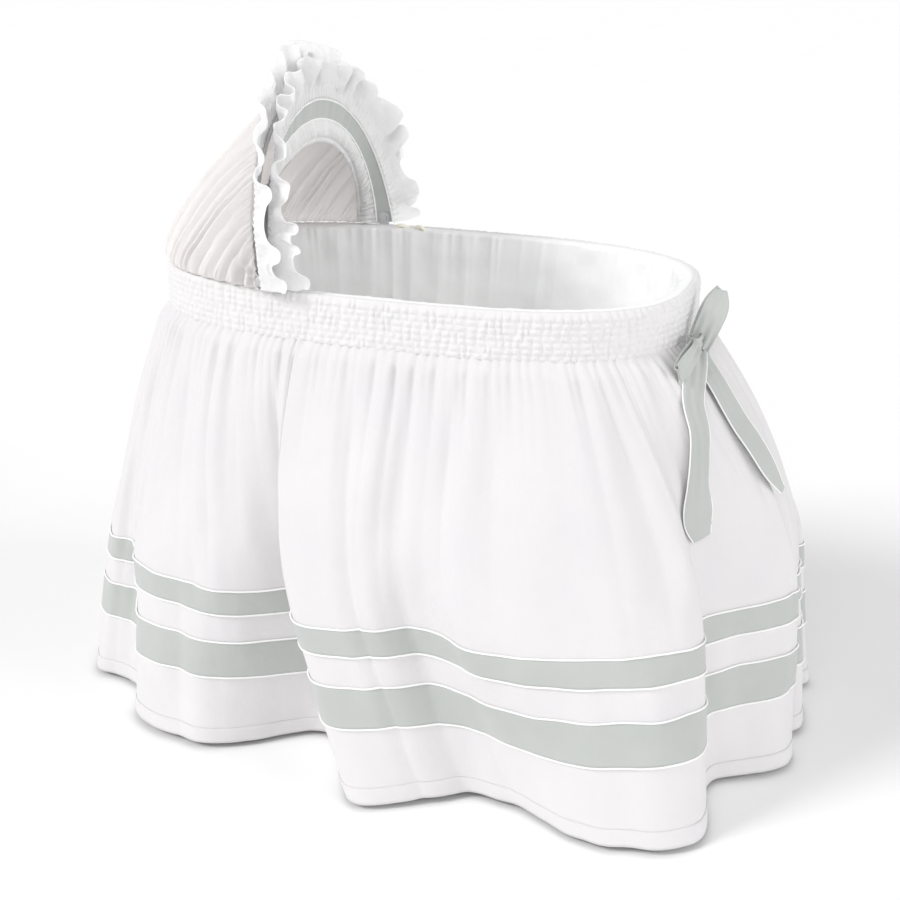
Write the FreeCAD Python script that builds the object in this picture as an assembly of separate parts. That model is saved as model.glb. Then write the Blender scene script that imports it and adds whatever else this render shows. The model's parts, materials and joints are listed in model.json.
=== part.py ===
"""Skirted oval baby bassinet with a fold-back hood, fold-away legs and swivel casters.

Millimetres, +Z up.  The origin is on the floor under the middle of the basket.
+X runs to the foot end, -X to the head end under the hood; -Y is the near side.
Every function returns one sub-part, and the last block writes each to its own file.
"""
import FreeCAD
import Part
import math
import os

V = FreeCAD.Vector

# ---- driving dimensions -------------------------------------------------------------
RIM_Z = 690.0                  # top of the covered rim
RIM_A, RIM_B = 394.0, 228.0    # half length and half width of the covered rim
RIM_N = 2.76                   # superellipse exponent of the basket's plan
BAND_HEIGHT = 68.0             # smocked elastic band under the rim
BAND_THICK = 3.4
HOOP_A, HOOP_B = 386.0, 220.0  # outside of the rim hoop
HOOP_WIDE, HOOP_HIGH = 9.0, 12.0
SHELL_WALL = 3.0
FLOOR_Z = 430.0                # underside of the basket
FLOOR_A, FLOOR_B = 340.0, 180.0
FLOOR_THICK = 4.0
BOARD_THICK = 6.0
MATTRESS_THICK = 38.0
CLOTH = 1.5                    # thickness given to a cloth layer
AIR = 0.4                      # clearance between separate soft pieces

HEM_Z = 10.0                   # skirt hem above the floor
HEM_A, HEM_B = 575.0, 374.0
HEM_N = 3.0
SKIRT_THICK = 3.0
SKIRT_GORES = 20
RIBBON_CLEAR = 2.0             # skirt ribbons stand off the gores, whose faces warp a little
RIBBON_THICK = 1.2
RIBBONS_FROM_HEM = {"lower": (105.0, 165.0), "upper": (213.0, 248.0)}

HINGE_X, HINGE_Z = -158.0, 702.0   # hood hinge axis, along Y
ARCH_R = 229.0                     # centre line of the hood hoop
ARCH_WIRE = 3.0
HOOD_PIN_R = 3.0
EYE_R, EYE_HALF = 8.0, 3.5         # flattened eye at each foot of the hoop
BRACKET_IN, BRACKET_THICK = 214.1, 2.4
HOOD_LEAN = 0.15                   # backward lean of the hood, mm per mm of height
HOOD_SEGMENTS = 12
TRIM_START_DEG = 7.0               # hood trim starts this far above the rim

TUBE_R, TUBE_WALL = 11.0, 1.5
LEG_R = 9.5
RUN_CLEAR = 0.05                   # radial clearance of a shaft in its bore
LEG_SPLAY = math.radians(8.0)
FOOT_RAIL_Z = 78.0
RAIL_Y = 75.0
RAIL_WIDE, RAIL_HIGH, RAIL_HALF = 16.0, 18.0, 315.0
LEG_FRAMES = {"head": (-290.0, 360.0, 185.0), "foot": (290.0, 398.0, 120.0)}

WHEEL_R, WHEEL_WIDE, HUB_R = 22.0, 16.0, 15.0
AXLE_R, STEM_R, BUSH_R = 3.0, 4.0, 6.5
TRAIL = 14.0
CROWN_R, CROWN_Z, CROWN_TOP = 14.0, 50.0, 58.0
ARM_THICK, ARM_GAP = 3.0, 1.5
BRAKE_Z, BRAKE_BACK = 49.0, 24.0
BRAKE_PIN_R = 2.0

BOW_AT = V(392, -58, 624)          # behind the bow's knot, at the band's lower edge
BOW_OUT = V(0.98, -0.199, 0.0)     # outward from the rim at the bow
BOW_ALONG = V(0.199, 0.98, 0.0)    # along the rim, towards the foot end's middle


# ---- shared shapes ------------------------------------------------------------------
def oval_point(a, b, n, turn, z):
    """Point of a superellipse of half axes a and b, at a parameter angle."""
    c, s = math.cos(turn), math.sin(turn)
    x = a * math.copysign(abs(c) ** (2.0 / n), c)
    y = b * math.copysign(abs(s) ** (2.0 / n), s)
    return V(x, y, z)


def oval_wire(a, b, z, n=RIM_N, count=40):
    curve = Part.BSplineCurve()
    points = [oval_point(a, b, n, 2 * math.pi * (i + 0.5) / count, z) for i in range(count)]
    curve.interpolate(Points=points, PeriodicFlag=True)
    return Part.Wire(curve.toShape())


def oval_prism(a, b, z_low, z_high):
    return Part.Face(oval_wire(a, b, z_low)).extrude(V(0, 0, z_high - z_low))


def oval_ring(a, b, wide, z_low, z_high):
    inner = oval_prism(a - wide, b - wide, z_low - 1, z_high + 1)
    return oval_prism(a, b, z_low, z_high).cut(inner)


def tub(inset, z_low, z_high):
    """Solid of the tapered basket, shrunk by an inset, between two heights."""
    wires = []
    for z in (z_low, z_high):
        share = (z - FLOOR_Z) / (RIM_Z - FLOOR_Z)
        a = FLOOR_A + (HOOP_A - HOOP_WIDE - FLOOR_A) * share - inset
        b = FLOOR_B + (HOOP_B - HOOP_WIDE - FLOOR_B) * share - inset
        wires.append(oval_wire(a, b, z))
    return Part.makeLoft(wires, True, True)


def rod(start, end, radius):
    return Part.makeCylinder(radius, (end - start).Length, start, end - start)


def tube(start, end, radius, wall):
    return rod(start, end, radius).cut(rod(start, end, radius - wall))


def box(centre, size):
    corner = centre - size * 0.5
    return Part.makeBox(size.x, size.y, size.z, corner)


def closed_wire(points):
    return Part.makePolygon(list(points) + [points[0]])


def strip(sections):
    """Closed solid through four-cornered sections, with flat triangular faces."""
    corners = [(0, 1, 2), (0, 2, 3)]
    triangles = [[end[i] for i in three] for end in (sections[0], sections[-1])
                 for three in corners]
    for upper, lower in zip(sections, sections[1:]):
        for i in range(4):
            j = (i + 1) % 4
            triangles.append([upper[i], upper[j], lower[j]])
            triangles.append([upper[i], lower[j], lower[i]])
    shell = Part.Shell([Part.Face(closed_wire(three)) for three in triangles])
    shell.sewShape()
    solid = Part.Solid(shell)
    if solid.Volume < 0:
        solid.reverse()
    return solid


def flat_patch(edge_a, edge_b, behind, thick):
    """Flat sheet between two edges, thickened towards the side that behind points to."""
    p0, p1 = edge_a
    q0, q1 = edge_b
    normal = (p1 - p0).cross(q0 - p0).normalize()
    if normal.dot(behind) < 0:
        normal = normal * -1
    q1 = q1 - normal * normal.dot(q1 - p0)
    return Part.Face(closed_wire([p0, p1, q1, q0])).extrude(normal * thick)


# ---- basket -------------------------------------------------------------------------
def basket_shell():
    return tub(0, FLOOR_Z, RIM_Z - 4).cut(tub(SHELL_WALL, FLOOR_Z + FLOOR_THICK, RIM_Z + 6))


def rim_hoop():
    top = RIM_Z - 3
    return oval_ring(HOOP_A, HOOP_B, HOOP_WIDE - AIR, top - HOOP_HIGH, top)


def base_board():
    bottom = FLOOR_Z + FLOOR_THICK
    return oval_prism(FLOOR_A - 5, FLOOR_B - 5, bottom, bottom + BOARD_THICK)


def mattress_floor():
    return FLOOR_Z + FLOOR_THICK + BOARD_THICK


def mattress():
    low = mattress_floor() + AIR
    pad = tub(SHELL_WALL + CLOTH + 3, low, low + MATTRESS_THICK)
    return pad


def liner():
    low = mattress_floor() + AIR
    outer = tub(SHELL_WALL + AIR, low, RIM_Z - 1)
    inner = tub(SHELL_WALL + AIR + CLOTH, low - 1, RIM_Z)
    return outer.cut(inner)


def elastic_band():
    return oval_ring(RIM_A, RIM_B, BAND_THICK, RIM_Z - BAND_HEIGHT, RIM_Z)


# ---- skirt --------------------------------------------------------------------------
SKIRT_TOP = RIM_Z - BAND_HEIGHT - AIR


def skirt_point(turn, share, proud):
    """Point on the skirt: share 0 at the band, 1 at the hem; proud is outward."""
    top = oval_point(RIM_A + 3 + proud, RIM_B + 3 + proud, RIM_N, turn, SKIRT_TOP)
    hem = oval_point(HEM_A + proud, HEM_B + proud, HEM_N, turn, HEM_Z)
    return top + (hem - top) * share


def skirt_piece(index, share_top, share_low, inner, outer):
    """One gore between two shares of the skirt's height."""
    step = 2 * math.pi / SKIRT_GORES
    gap = 0.001
    start = (index + 0.5) * step + gap
    end = (index + 1.5) * step - gap
    return strip([[
        skirt_point(start, share, inner), skirt_point(end, share, inner),
        skirt_point(end, share, outer), skirt_point(start, share, outer)]
        for share in (share_top, share_low)])


def skirt_panel(first):
    """Quarter of the skirt: the gores from a first index on."""
    gores = range(first, first + SKIRT_GORES // 4)
    return Part.Compound([skirt_piece(i, 0.0, 1.0, -SKIRT_THICK, 0.0) for i in gores])


def skirt_ribbon(low_edge, high_edge):
    slope = math.hypot(SKIRT_TOP - HEM_Z, HEM_B - RIM_B)
    share_low, share_high = 1 - low_edge / slope, 1 - high_edge / slope
    pieces = []
    for i in range(SKIRT_GORES):
        pieces.append(skirt_piece(i, share_high, share_low,
                                  RIBBON_CLEAR, RIBBON_CLEAR + RIBBON_THICK))
    return Part.Compound(pieces)


# ---- hood ---------------------------------------------------------------------------
def arch_point(angle, radius_y, height, base_x, lean, power=2.0):
    """Point of an arch that stands on the rim; angle runs 0..pi from near to far."""
    c, s = math.cos(angle), math.sin(angle)
    y = -radius_y * math.copysign(abs(c) ** (2.0 / power), c)
    rise = height * abs(s) ** (2.0 / power)
    return V(base_x - lean * rise, y, RIM_Z + rise)


def trim_angles():
    start = math.radians(TRIM_START_DEG)
    step = (math.pi - 2 * start) / HOOD_SEGMENTS
    gap = 0.003
    return [(start + i * step + gap, start + (i + 1) * step - gap)
            for i in range(HOOD_SEGMENTS)]


RIBBON_OUTER = (222.0, 224.0, -145.0, HOOD_LEAN)
RIBBON_INNER = (215.0, 197.0, -171.0, 0.063)
VALANCE_INNER = (209.0, 165.0, -206.0, -0.122, 1.8)
RUFFLE_ROOT = (226.0, 229.0, -143.0, HOOD_LEAN)
RUFFLE_EDGE = (292.0, 288.0, -130.0, HOOD_LEAN)


def hood_trim(outer, inner, thick):
    """Ring of cloth between two arches, one flat closed piece for each stretch."""
    pieces = []
    for start, end in trim_angles():
        middle = (start + end) / 2
        behind = V(-1, math.cos(middle), -math.sin(middle))
        edge_a = [arch_point(start, *outer), arch_point(end, *outer)]
        edge_b = [arch_point(start, *inner), arch_point(end, *inner)]
        pieces.append(flat_patch(edge_a, edge_b, behind, thick))
    return Part.Compound(pieces)


def hood_ribbon():
    return hood_trim(RIBBON_OUTER, RIBBON_INNER, 1.2)


def hood_valance():
    gap = 1.0
    outer = (RIBBON_INNER[0] - gap, RIBBON_INNER[1] - gap, RIBBON_INNER[2] - 2, RIBBON_INNER[3])
    return hood_trim(outer, VALANCE_INNER, 1.2)


def hood_ruffle():
    return hood_trim(RUFFLE_EDGE, RUFFLE_ROOT, 10.0)


def hinge_rod(side, start, end, radius):
    """Cylinder on the hood hinge's axis, between two distances from the middle."""
    return rod(V(HINGE_X, side * start, HINGE_Z), V(HINGE_X, side * end, HINGE_Z), radius)


def hood_arch():
    """Steel hoop with a flattened eye at each foot, round the hinge axis."""
    axis_at = V(HINGE_X, 0, HINGE_Z)
    ring = Part.makeTorus(ARCH_R, ARCH_WIRE, axis_at, V(1, 0, 0))
    keep = Part.makeBox(20, 600, 400, V(HINGE_X - 10, -300, HINGE_Z))
    arch = ring.common(keep)
    for side in (-1, 1):
        arch = arch.fuse(hinge_rod(side, ARCH_R - EYE_HALF, ARCH_R + EYE_HALF, EYE_R))
        arch = arch.cut(hinge_rod(side, ARCH_R - 9, ARCH_R + 9, HOOD_PIN_R))
    arch.rotate(axis_at, V(0, 1, 0), -math.degrees(math.atan(HOOD_LEAN)))
    return arch


def hood_bracket(side):
    """Strap on the outside of the rim hoop that carries the hood hinge."""
    middle = V(HINGE_X, side * (BRACKET_IN + BRACKET_THICK / 2), HINGE_Z - 20)
    strap = box(middle, V(16, BRACKET_THICK, 40))
    head = hinge_rod(side, BRACKET_IN, BRACKET_IN + BRACKET_THICK, 9)
    bore = hinge_rod(side, BRACKET_IN - 9, BRACKET_IN + 9, HOOD_PIN_R + RUN_CLEAR)
    return strap.fuse(head).removeSplitter().cut(bore)


def hood_pin(side):
    """Headed hinge pin through the bracket and the arch's eye."""
    eye_in, eye_out = ARCH_R - EYE_HALF, ARCH_R + EYE_HALF
    bracket_out = BRACKET_IN + BRACKET_THICK
    shank = hinge_rod(side, BRACKET_IN - 2.4, eye_out + 2, HOOD_PIN_R)
    tail = hinge_rod(side, BRACKET_IN - 2.4, BRACKET_IN - AIR, 5.0)
    head = hinge_rod(side, eye_out + AIR, eye_out + 3, 6.5)
    spacer = hinge_rod(side, bracket_out + AIR, eye_in, 5.5)
    return shank.fuse([tail, head, spacer]).removeSplitter()


def hood_cover():
    """Back of the hood: from the arch down to the head-end rim, puffed outward."""
    foot_turn = math.acos((-HINGE_X / RIM_A) ** (RIM_N / 2)) - 0.06
    columns = 14
    bulge = 26.0
    thick = 2.0
    pieces = []

    def grid_point(side, share, proud):
        angle = math.radians(9) + side * math.radians(162)
        arch = V(HINGE_X - 9 - HOOD_LEAN * (ARCH_R + proud) * math.sin(angle),
                 -(ARCH_R + proud) * math.cos(angle),
                 HINGE_Z + (ARCH_R + proud) * math.sin(angle))
        turn = math.pi + foot_turn * (1 - 2 * side)
        rim = oval_point(RIM_A - 4 + proud, RIM_B - 4 + proud, RIM_N, turn, RIM_Z + 3)
        puff = bulge * math.sin(math.pi * share) * math.sin(angle)
        return arch + (rim - arch) * share + V(-0.7, 0, 0.7) * puff

    for i in range(columns):
        start, end = i / columns + 0.001, (i + 1) / columns - 0.001
        pieces.append(strip([[
            grid_point(start, share, 0), grid_point(end, share, 0),
            grid_point(end, share, thick), grid_point(start, share, thick)]
            for share in (0.0, 0.25, 0.5, 0.75, 1.0)]))
    return Part.Compound(pieces)


def tie_bow(side):
    """Small tied bow at the foot of the hood arch, on the rim."""
    centre = V(-96, side * (RIM_B + 6.5), RIM_Z - 7)
    knot = box(centre, V(9, 6, 9))
    loops = [box(centre + V(dx, 0, 3), V(15, 5, 12)) for dx in (-12.5, 12.5)]
    return Part.Compound([knot] + loops)


# ---- ribbon bow ---------------------------------------------------------------------
def bow_place(along, out, up):
    return BOW_AT + BOW_ALONG * along + BOW_OUT * out + V(0, 0, up)


def bow_strip(outline, out, thick):
    """Flat ribbon piece: an outline of (along, up) points, thickened outward."""
    face = Part.Face(closed_wire([bow_place(along, out, up) for along, up in outline]))
    return face.extrude(BOW_OUT * thick)


def bow_knot():
    return bow_strip([(-14, -13), (14, -13), (14, 13), (-14, 13)], 8, 12)


def bow_loops():
    upper = bow_strip([(16, -8), (16, 10), (58, 60), (84, 66), (78, 34), (34, -8)], 14, 16)
    lower = bow_strip([(-16, -12), (-16, 10), (-44, 6), (-64, -22), (-44, -50), (-30, -34)], 20, 12)
    return Part.Compound([upper, lower])


def bow_tails():
    """Two hanging tails, each a straight prism that leans out with the skirt."""
    pieces = []
    long_tail = ((-8, 12, -15, 9), (-71, 76, -250, 19))
    short_tail = ((14, 12, -15, 9), (57, 131, -213, 19))
    for ends in (long_tail, short_tail):
        pieces.append(strip([[
            bow_place(along + dx, out + dy, up)
            for dx, dy in ((-half, 0), (half, 0), (half, 3), (-half, 3))]
            for along, out, up, half in ends]))
    return Part.Compound(pieces)


# ---- rails and hinge blocks under the basket ----------------------------------------
def base_rail(side):
    centre = V(0, side * RAIL_Y, FLOOR_Z - RAIL_HIGH / 2)
    return box(centre, V(2 * RAIL_HALF, RAIL_WIDE, RAIL_HIGH))


def hinge_blocks(end):
    """Pair of blocks under the rails that carry a leg frame's cross tube."""
    hinge_x, hinge_z, _ = LEG_FRAMES[end]
    top = FLOOR_Z - RAIL_HIGH
    low = hinge_z - 18
    pair = []
    for side in (-1, 1):
        block = box(V(hinge_x, side * RAIL_Y, (top + low) / 2), V(34, RAIL_WIDE, top - low))
        start = V(hinge_x, side * RAIL_Y - 20, hinge_z)
        pair.append(block.cut(rod(start, start + V(0, 40, 0), TUBE_R + RUN_CLEAR)))
    return Part.Compound(pair)


def rail_screws():
    """Pan-head screws from below through the rails into the basket's floor."""
    screws = []
    for x in (-230, 0, 230):
        for side in (-1, 1):
            at = V(x, side * RAIL_Y, FLOOR_Z - RAIL_HIGH - 2.5)
            screws.append(rod(at, at + V(0, 0, 2.5), 5))
    return Part.Compound(screws)


# ---- leg frames ---------------------------------------------------------------------
def foot_x(end):
    hinge_x, hinge_z, _ = LEG_FRAMES[end]
    outward = math.copysign(1, hinge_x)
    return hinge_x + outward * (hinge_z - FOOT_RAIL_Z) * math.tan(LEG_SPLAY)


def cross_tube(end):
    hinge_x, hinge_z, half = LEG_FRAMES[end]
    reach = half + LEG_R + 6
    return tube(V(hinge_x, -reach, hinge_z), V(hinge_x, reach, hinge_z), TUBE_R, TUBE_WALL)


def foot_rail(end):
    _, _, half = LEG_FRAMES[end]
    x, reach = foot_x(end), half + LEG_R + 6
    start, finish = V(x, -reach, FOOT_RAIL_Z), V(x, reach, FOOT_RAIL_Z)
    rail = rod(start, finish, TUBE_R)
    for side in (-1, 1):
        seat = V(x, side * half, FOOT_RAIL_Z - TUBE_R - 1)
        rail = rail.cut(rod(seat, seat + V(0, 0, 19), BUSH_R))
    return rail


def leg(end, side):
    hinge_x, hinge_z, half = LEG_FRAMES[end]
    y = side * half
    top, low = V(hinge_x, y, hinge_z), V(foot_x(end), y, FOOT_RAIL_Z)
    body = tube(top, low, LEG_R, TUBE_WALL)
    for centre in (top, low):
        body = body.cut(rod(centre + V(0, -20, 0), centre + V(0, 20, 0), TUBE_R))
    return max(body.Solids, key=lambda solid: solid.Volume)


# ---- casters ------------------------------------------------------------------------
def caster_at(end, side):
    return V(foot_x(end), side * LEG_FRAMES[end][2], 0)


def caster_bush(at):
    """Flanged bush in the foot rail that the caster's stem turns in."""
    low = FOOT_RAIL_Z - TUBE_R
    sleeve = rod(at + V(0, 0, low), at + V(0, 0, low + 17), BUSH_R)
    flange = rod(at + V(0, 0, low - 3.5), at + V(0, 0, low - 0.3), BUSH_R + 3)
    neck = rod(at + V(0, 0, low - 0.3), at + V(0, 0, low), BUSH_R)
    bush = sleeve.fuse([flange, neck]).removeSplitter()
    return bush.cut(rod(at + V(0, 0, low - 9), at + V(0, 0, low + 30), STEM_R + RUN_CLEAR))


def caster_fork(at, braked):
    crown = rod(at + V(0, 0, CROWN_Z), at + V(0, 0, CROWN_TOP), CROWN_R)
    collar = rod(at + V(0, 0, CROWN_TOP), at + V(0, 0, CROWN_TOP + 5), STEM_R + 2)
    stem = rod(at + V(0, 0, CROWN_TOP), at + V(0, 0, CROWN_TOP + 25), STEM_R)
    axle_at = at + V(-TRAIL, 0, WHEEL_R)
    inner = WHEEL_WIDE / 2 + ARM_GAP
    fork = crown.fuse([collar, stem])
    for side in (-1, 1):
        y = inner if side > 0 else -inner - ARM_THICK
        outline = [at + V(12, y, CROWN_TOP), at + V(-20, y, CROWN_TOP),
                   axle_at + V(-8, y, 0), axle_at + V(8, y, 0)]
        arm = Part.Face(closed_wire(outline)).extrude(V(0, ARM_THICK, 0))
        eye = rod(axle_at + V(0, y, 0), axle_at + V(0, y + ARM_THICK, 0), 8)
        fork = fork.fuse([arm, eye])
    bridge = box(at + V(-2, 0, CROWN_TOP - 4), V(24, 2 * inner + 2 * ARM_THICK, 8))
    fork = fork.fuse(bridge).removeSplitter()
    fork = fork.cut(rod(axle_at + V(0, -30, 0), axle_at + V(0, 30, 0), AXLE_R))
    if braked:
        pivot = at + V(-TRAIL, 0, BRAKE_Z)
        hole = rod(pivot + V(0, -30, 0), pivot + V(0, 30, 0), BRAKE_PIN_R + RUN_CLEAR)
        fork = fork.cut(hole)
    return fork


def caster_axle(at):
    axle_at = at + V(-TRAIL, 0, WHEEL_R)
    reach = WHEEL_WIDE / 2 + ARM_GAP + ARM_THICK
    shank = rod(axle_at + V(0, -reach, 0), axle_at + V(0, reach, 0), AXLE_R)
    heads = [rod(axle_at + V(0, y, 0), axle_at + V(0, y + 2, 0), AXLE_R + 2)
             for y in (-reach - 2, reach)]
    return shank.fuse(heads).removeSplitter()


def wheel_hub(at):
    centre = at + V(-TRAIL, 0, WHEEL_R)
    half = V(0, WHEEL_WIDE / 2, 0)
    hub = rod(centre - half, centre + half, HUB_R)
    for sign in (-1, 1):
        dish = rod(centre + half * sign, centre + half * (sign * 0.65), HUB_R - 3)
        boss = rod(centre + half * sign, centre + half * (sign * 0.65), AXLE_R + 3)
        hub = hub.cut(dish.cut(boss))
    return hub.cut(rod(centre - half * 2, centre + half * 2, AXLE_R + RUN_CLEAR))


def wheel_tyre(at):
    centre = at + V(-TRAIL, 0, WHEEL_R)
    half = V(0, WHEEL_WIDE / 2, 0)
    tyre = rod(centre - half, centre + half, WHEEL_R)
    rims = [edge for edge in tyre.Edges if abs(edge.Length - 2 * math.pi * WHEEL_R) < 1]
    tyre = tyre.makeFillet(2.5, rims)
    return tyre.cut(rod(centre - half * 2, centre + half * 2, HUB_R))


def brake_lever(at):
    """Foot lever over the tyre, turning on its own pin in the fork's arms."""
    pivot = at + V(-TRAIL, 0, BRAKE_Z)
    reach = WHEEL_WIDE / 2 + ARM_GAP + ARM_THICK
    pin = rod(pivot + V(0, -reach, 0), pivot + V(0, reach, 0), BRAKE_PIN_R)
    pad = box(pivot + V(-BRAKE_BACK / 2 - 1, 0, 0), V(BRAKE_BACK, WHEEL_WIDE, 3.4))
    tread = box(pivot + V(-BRAKE_BACK - 5, 0, 2), V(10, WHEEL_WIDE + 6, 3.4))
    return pin.fuse([pad, tread]).removeSplitter()


# ---- all sub-parts ------------------------------------------------------------------
def all_parts():
    quarter = SKIRT_GORES // 4
    parts = {
        "basket_shell": basket_shell(),
        "rim_hoop": rim_hoop(),
        "base_board": base_board(),
        "mattress": mattress(),
        "liner": liner(),
        "elastic_band": elastic_band(),
        "skirt_panel_far": skirt_panel(quarter // 2),
        "skirt_panel_head": skirt_panel(quarter // 2 + quarter),
        "skirt_panel_near": skirt_panel(quarter // 2 + 2 * quarter),
        "skirt_panel_foot": skirt_panel(quarter // 2 + 3 * quarter),
        "hood_arch": hood_arch(),
        "hood_cover": hood_cover(),
        "hood_ribbon": hood_ribbon(),
        "hood_valance": hood_valance(),
        "hood_ruffle": hood_ruffle(),
        "bow_knot": bow_knot(),
        "bow_loops": bow_loops(),
        "bow_tails": bow_tails(),
        "rail_screws": rail_screws(),
        "hood_pins": Part.Compound([hood_pin(-1), hood_pin(1)]),
        "tie_bows": Part.Compound([tie_bow(-1), tie_bow(1)]),
    }
    for name, edges in RIBBONS_FROM_HEM.items():
        parts["skirt_ribbon_" + name] = skirt_ribbon(*edges)
    for side_name, side in (("near", -1), ("far", 1)):
        parts["hood_bracket_" + side_name] = hood_bracket(side)
        parts["base_rail_" + side_name] = base_rail(side)
    for end in LEG_FRAMES:
        parts[end + "_hinge_blocks"] = hinge_blocks(end)
        parts[end + "_cross_tube"] = cross_tube(end)
        parts[end + "_foot_rail"] = foot_rail(end)
        for side_name, side in (("near", -1), ("far", 1)):
            where = end + "_" + side_name
            at = caster_at(end, side)
            parts[where + "_leg"] = leg(end, side)
            parts[where + "_caster_bush"] = caster_bush(at)
            parts[where + "_caster_fork"] = caster_fork(at, end == "foot")
            parts[where + "_caster_axle"] = caster_axle(at)
            parts[where + "_wheel_hub"] = wheel_hub(at)
            parts[where + "_wheel_tyre"] = wheel_tyre(at)
            if end == "foot":
                parts[where + "_brake_lever"] = brake_lever(at)
    return parts


os.makedirs("parts", exist_ok=True)
for node, shape in all_parts().items():
    shape.exportStep("parts/" + node + ".step")
    extent = shape.BoundBox
    print(node, shape.isValid(), len(shape.Solids), round(shape.Volume),
          [round(v) for v in (extent.XMin, extent.XMax, extent.YMin, extent.YMax,
                              extent.ZMin, extent.ZMax)])
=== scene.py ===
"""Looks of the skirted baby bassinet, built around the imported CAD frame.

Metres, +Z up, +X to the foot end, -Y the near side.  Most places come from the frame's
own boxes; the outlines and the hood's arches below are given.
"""
import bpy
import json
import math
import numpy as np
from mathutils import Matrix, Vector


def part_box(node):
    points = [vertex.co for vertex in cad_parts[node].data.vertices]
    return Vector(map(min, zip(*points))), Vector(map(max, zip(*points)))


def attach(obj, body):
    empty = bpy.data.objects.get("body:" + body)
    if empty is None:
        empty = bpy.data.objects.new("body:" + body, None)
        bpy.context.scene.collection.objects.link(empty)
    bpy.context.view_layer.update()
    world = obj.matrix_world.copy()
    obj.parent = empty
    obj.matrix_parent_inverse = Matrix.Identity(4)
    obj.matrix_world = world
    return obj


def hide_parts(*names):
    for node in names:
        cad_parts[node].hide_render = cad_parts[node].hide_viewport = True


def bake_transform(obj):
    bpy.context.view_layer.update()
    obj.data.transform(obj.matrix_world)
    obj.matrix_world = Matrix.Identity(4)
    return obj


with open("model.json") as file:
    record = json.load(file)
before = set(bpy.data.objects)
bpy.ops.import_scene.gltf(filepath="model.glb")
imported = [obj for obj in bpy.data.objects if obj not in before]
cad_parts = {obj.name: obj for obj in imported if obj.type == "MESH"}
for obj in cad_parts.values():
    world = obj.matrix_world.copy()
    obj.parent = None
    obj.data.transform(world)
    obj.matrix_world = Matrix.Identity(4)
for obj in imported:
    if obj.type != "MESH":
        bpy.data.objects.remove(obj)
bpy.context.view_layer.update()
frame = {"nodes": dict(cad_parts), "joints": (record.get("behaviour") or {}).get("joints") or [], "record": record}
MM = 0.001

# ---- places taken from the frame -----------------------------------------------------
band_low, band_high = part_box("elastic_band")
RIM_A, RIM_B, RIM_Z = band_high.x, band_high.y, band_high.z
BAND_Z = band_low.z
RIM_N = 2.76                                   # superellipse exponent of the basket
HEM_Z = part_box("skirt_panel_near")[0].z - 1.5 * MM
hood_joint = next(j for j in frame["joints"] if j["name"] == "hood_fold")
HINGE = Vector(hood_joint["pos_m"])
ARCH_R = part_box("hood_pins")[1].y - 6.5 * MM   # centre line of the hood's hoop
liner_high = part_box("liner")[1]
mattress_low, mattress_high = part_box("mattress")


# ---- small maths ----------------------------------------------------------------------
def smooth(x, low=0.0, high=1.0):
    t = np.clip((x - low) / (high - low), 0, 1)
    return t * t * (3 - 2 * t)


def soft_noise(count, knots, seed, closed=True):
    """Smooth random values in -1..1 along a line or a ring of count samples."""
    values = np.random.default_rng(seed).uniform(-1, 1, knots)
    x = np.arange(count) / count * knots if closed else np.linspace(0, knots - 1.001, count)
    i = x.astype(int)
    t = smooth(x - i)
    return values[i % knots] * (1 - t) + values[(i + 1) % knots] * t


def noise_field(rows, cols, knots_rows, knots_cols, seed, closed=True):
    """Smooth random values in -1..1 on a grid; closed means the columns wrap."""
    values = np.random.default_rng(seed).uniform(-1, 1, (knots_rows + 1, knots_cols + 1))
    if closed:
        values[:, -1] = values[:, 0]
    y = np.linspace(0, knots_rows - 0.001, rows)
    x = np.arange(cols) / cols * knots_cols if closed else np.linspace(0, knots_cols - 0.001, cols)
    i, j = y.astype(int)[:, None], x.astype(int)[None, :]
    ty, tx = smooth(y - y.astype(int))[:, None], smooth(x - x.astype(int))[None, :]
    top = values[i, j] * (1 - tx) + values[i, j + 1] * tx
    low = values[i + 1, j] * (1 - tx) + values[i + 1, j + 1] * tx
    return top * (1 - ty) + low * ty


def gathers(turns, count, seed, wander=0.35):
    """Row of uneven gathers: -1 in the sharp valleys, +1 on the round ridges."""
    phase = turns * count + wander * soft_noise(len(turns), max(int(count * 0.8), 4), seed)
    wave = np.sqrt(np.cos(math.pi * phase) ** 2 + 0.015)
    size = 0.75 + 0.25 * soft_noise(len(turns), max(int(count * 0.9), 4), seed + 1)
    return (wave * 2 - 1) * size


def oval(turn, a, b, n=RIM_N):
    """Points of a superellipse, and its outward directions, at parameter angles."""
    c, s = np.cos(turn), np.sin(turn)
    x = a * np.sign(c) * np.abs(c) ** (2 / n)
    y = b * np.sign(s) * np.abs(s) ** (2 / n)
    nx = np.sign(x) * np.abs(x / a) ** (n - 1) / a
    ny = np.sign(y) * np.abs(y / b) ** (n - 1) / b
    length = np.hypot(nx, ny)
    return np.stack([x, y], -1), np.stack([nx / length, ny / length], -1)


def spline(p0, p1, p2, p3, t):
    """Smooth step from p1 to p2, t from 0 to 1, with p0 and p3 as their neighbours."""
    return 0.5 * (2 * p1 + (p2 - p0) * t + (2 * p0 - 5 * p1 + 4 * p2 - p3) * t ** 2
                  + (3 * p1 - p0 - 3 * p2 + p3) * t ** 3)


def closed_curve(points, count):
    """Smooth closed curve through rows of numbers, evenly spaced along its first two."""
    p = np.array(points, float)
    n, fine = len(p), 40
    t = (np.arange(fine) / fine)[:, None]
    out = [spline(p[(i - 1) % n], p[i], p[(i + 1) % n], p[(i + 2) % n], t) for i in range(n)]
    dense = np.vstack(out + [out[0][:1]])
    steps = np.linalg.norm(np.diff(dense[:, :2], axis=0), axis=1)
    along = np.concatenate([[0], np.cumsum(steps)])
    want = np.arange(count) / count * along[-1]
    return np.stack([np.interp(want, along, dense[:, k]) for k in range(p.shape[1])], 1)


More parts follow.
